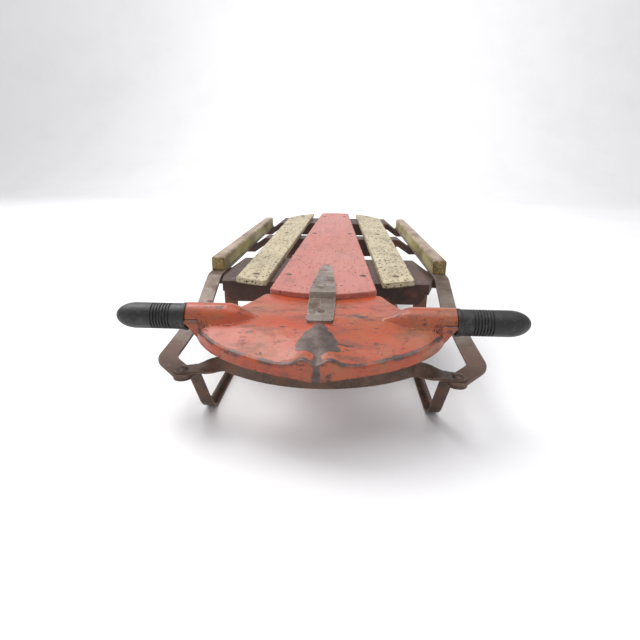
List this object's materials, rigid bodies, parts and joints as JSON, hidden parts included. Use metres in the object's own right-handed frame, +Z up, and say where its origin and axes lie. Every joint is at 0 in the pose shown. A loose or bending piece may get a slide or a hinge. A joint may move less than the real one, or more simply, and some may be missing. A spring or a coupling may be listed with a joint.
{
  "type": "steering sled",
  "caption": "Slatted wooden sled on steel runners, with side rails and a pressed steel steering nose with grips that flexes the front bow.",
  "frame": {"origin": "on the ground, below the middle of the bounding box", "axes": "+Z up, -Y towards the steering nose (front), +Y towards the tail, X across the sled"},
  "size_m": [0.501, 1.16, 0.1636],
  "materials": {
    "red_board": "faded red paint over wood, scuffed",
    "cream_slat": "cream paint over wood with dark speckled wear",
    "rail_wood": "cream paint worn through to brown wood",
    "core_wood": "bare hardwood",
    "dark_steel": "dark brown enamel, dull",
    "worn_steel": "grey-brown oxidised flat bar",
    "rivet_steel": "dark oxidised steel",
    "red_nose": "orange-red enamel, scratched, edges worn to metal",
    "grey_plate": "weathered grey plate",
    "bronze": "dull bronze",
    "grip_rubber": "black moulded rubber, satin"
  },
  "bodies": {
    "frame": {"centre_board": "red_board", "slat_right": "cream_slat", "slat_left": "cream_slat", "bench_front": "dark_steel", "knee_front_right": "dark_steel", "knee_front_left": "dark_steel", "knee_rivets_front": "rivet_steel", "deck_rivets_front": "rivet_steel", "bench_middle": "dark_steel", "knee_middle_right": "dark_steel", "knee_middle_left": "dark_steel", "knee_rivets_middle": "rivet_steel", "deck_rivets_middle": "rivet_steel", "bench_rear": "dark_steel", "knee_rear_right": "dark_steel", "knee_rear_left": "dark_steel", "knee_rivets_rear": "rivet_steel", "deck_rivets_rear": "rivet_steel", "runner_right": "worn_steel", "runner_left": "worn_steel", "side_strap_right": "worn_steel", "side_strap_left": "worn_steel", "side_rail_right": "rail_wood", "side_rail_left": "rail_wood", "rail_screws_right": "rivet_steel", "rail_screws_left": "rivet_steel", "pivot_bolt": "rivet_steel", "pivot_washer": "rivet_steel", "pivot_nut": "rivet_steel", "steering_tongue": "grey_plate", "tongue_rivets": "rivet_steel"},
    "nose": {"steering_nose": "red_nose", "handle_core_right": "core_wood", "handle_core_left": "core_wood", "handle_pins": "rivet_steel", "grip_right": "grip_rubber", "grip_left": "grip_rubber", "link_plate": "dark_steel", "link_rivets": "rivet_steel", "drive_stud": "rivet_steel", "pivot_bush": "bronze"},
    "bow": {"front_bow": "worn_steel", "bow_bracket": "worn_steel", "corner_rivets": "rivet_steel"}
  },
  "joints": [
    {"name": "steer", "type": "hinge", "parent": "frame", "child": "nose", "pos_m": [0, -0.475, 0.145], "axis": [0, 0, 1], "range_deg": [-8, 8], "stiffness_Nm_per_rad": 15},
    {"name": "bow_shift", "type": "slide", "parent": "frame", "child": "bow", "axis": [1, 0, 0], "range_m": [-0.009, 0.009], "deforming": ["runner_right", "runner_left", "side_strap_right", "side_strap_left"]}
  ],
  "couplings": [
    {"joint": "bow_shift", "follows": "steer", "m_per_rad": 0.063}
  ]
}
